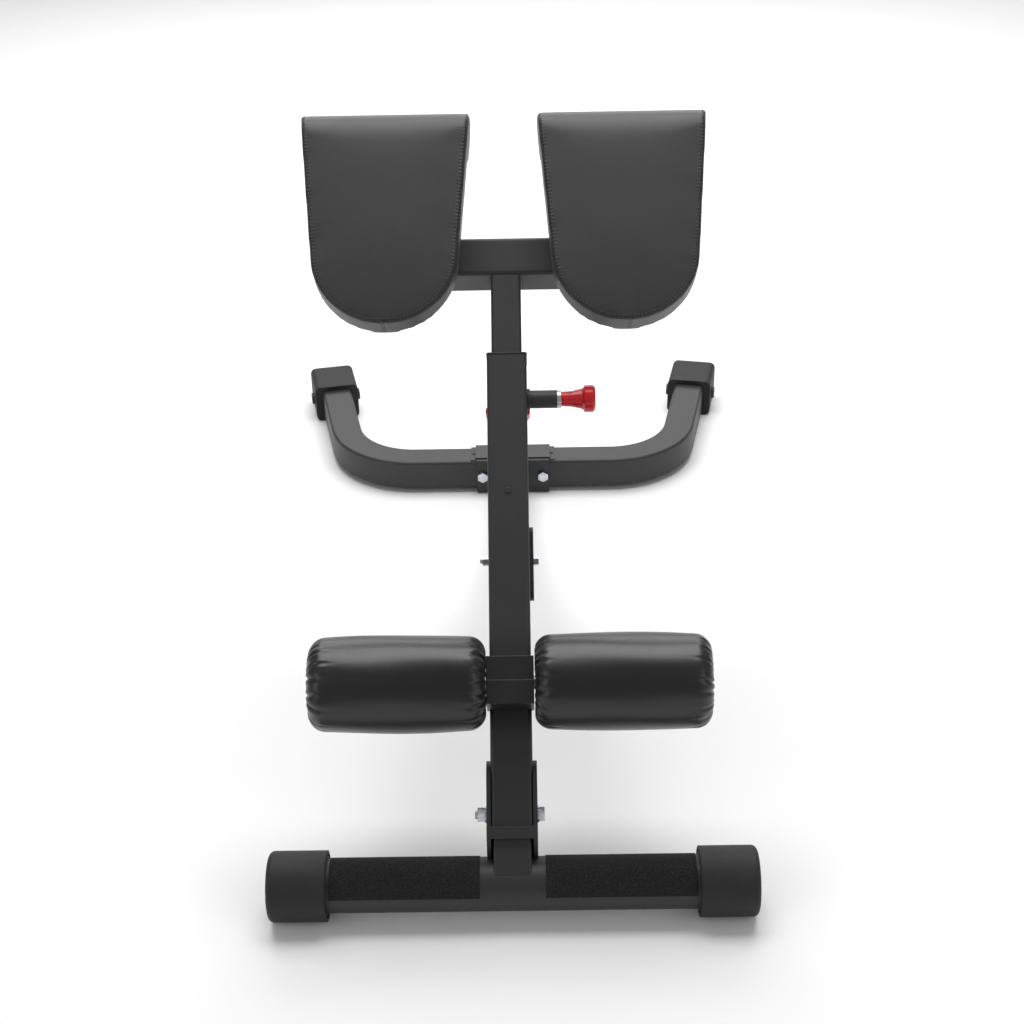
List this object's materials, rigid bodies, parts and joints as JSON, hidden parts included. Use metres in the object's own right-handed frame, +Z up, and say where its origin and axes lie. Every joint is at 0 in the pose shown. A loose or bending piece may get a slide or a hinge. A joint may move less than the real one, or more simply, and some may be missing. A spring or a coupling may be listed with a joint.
{
  "type": "hyperextension bench",
  "caption": "Inclined hyperextension bench with split thigh pads on a sliding post, foam ankle rollers on the main tube and a folding U-shaped rear base.",
  "frame": {"origin": "centre of the bounding box, on the floor", "axes": "+Z up, +Y towards the rear base, +X to the side of the pull pin"},
  "size_m": [0.736, 1.3798, 0.7669],
  "materials": {
    "frame_paint": "satin black powder coat",
    "zinc_steel": "bright zinc plate",
    "foot_rubber": "matt moulded rubber",
    "grip_tape": "coarse grit tape",
    "black_plastic": "matt moulded plastic",
    "pad_vinyl": "satin vinyl with a fine grain",
    "roller_vinyl": "glossy vinyl",
    "pad_plywood": "plain plywood",
    "red_plastic": "gloss moulded plastic"
  },
  "bodies": {
    "frame": {"front_foot_tube": "frame_paint", "front_cap_left": "foot_rubber", "front_cap_right": "foot_rubber", "grip_tape_left": "grip_tape", "grip_tape_right": "grip_tape", "front_socket": "frame_paint", "foot_stub": "frame_paint", "socket_bolt": "zinc_steel", "socket_nut": "zinc_steel", "socket_washers": "zinc_steel", "main_tube": "frame_paint", "main_tube_liner": "black_plastic", "liner_screw": "frame_paint", "pin_barrel": "frame_paint", "pin_ferrule": "zinc_steel", "pin_spring": "zinc_steel", "clamp_boss": "frame_paint", "roller_block_upper": "black_plastic", "roller_block_lower": "black_plastic", "roller_axle": "zinc_steel", "axle_caps": "black_plastic", "pivot_bracket": "frame_paint", "pivot_bolt": "zinc_steel", "pivot_nut": "zinc_steel", "pivot_washers": "black_plastic", "pivot_keeper": "frame_paint"},
    "post": {"post_tube": "frame_paint", "post_glide": "black_plastic", "crossbar": "frame_paint", "crossbar_plugs": "black_plastic", "pad_board_left": "pad_plywood", "pad_board_right": "pad_plywood", "pad_cushion_left": "pad_vinyl", "pad_cushion_right": "pad_vinyl", "pad_bolts": "zinc_steel", "pad_tee_nuts": "zinc_steel"},
    "pull_pin": {"locking_pin": "zinc_steel", "pull_knob": "red_plastic"},
    "clamp": {"clamp_knob": "red_plastic", "clamp_screw": "zinc_steel"},
    "roller_left": {"roller_sleeve_left": "black_plastic", "roller_foam_left": "roller_vinyl"},
    "roller_right": {"roller_sleeve_right": "black_plastic", "roller_foam_right": "roller_vinyl"},
    "rear_base": {"rear_leg": "frame_paint", "pivot_bush": "zinc_steel", "saddle_bracket": "frame_paint", "cover_plate": "frame_paint", "cover_rivets": "frame_paint", "rear_bar": "frame_paint", "saddle_bolts": "zinc_steel", "saddle_nuts": "zinc_steel", "rear_foot_left": "foot_rubber", "rear_foot_right": "foot_rubber", "rear_foot_bolts": "frame_paint"}
  },
  "joints": [
    {"name": "post_slide", "type": "slide", "parent": "frame", "child": "post", "axis": [0, 0.7071, 0.7071], "range_m": [-0.06, 0.09]},
    {"name": "pin_pull", "type": "slide", "parent": "frame", "child": "pull_pin", "axis": [1, 0, 0], "range_m": [0, 0.01], "stiffness_N_per_m": 600, "springref_m": -0.008, "deforming": ["pin_spring"]},
    {"name": "clamp_turn", "type": "hinge", "parent": "frame", "child": "clamp", "pos_m": [0, -0.2013, 0.43364], "axis": [0, -0.7071, 0.7071], "continuous": true},
    {"name": "roller_left_spin", "type": "hinge", "parent": "frame", "child": "roller_left", "pos_m": [0, -0.52975, 0.2459], "axis": [1, 0, 0], "continuous": true},
    {"name": "roller_right_spin", "type": "hinge", "parent": "frame", "child": "roller_right", "pos_m": [0, -0.52975, 0.2459], "axis": [1, 0, 0], "continuous": true},
    {"name": "rear_base_fold", "type": "hinge", "parent": "frame", "child": "rear_base", "pos_m": [0, -0.33636, 0.29292], "axis": [1, 0, 0], "range_deg": [-105, 0]}
  ]
}
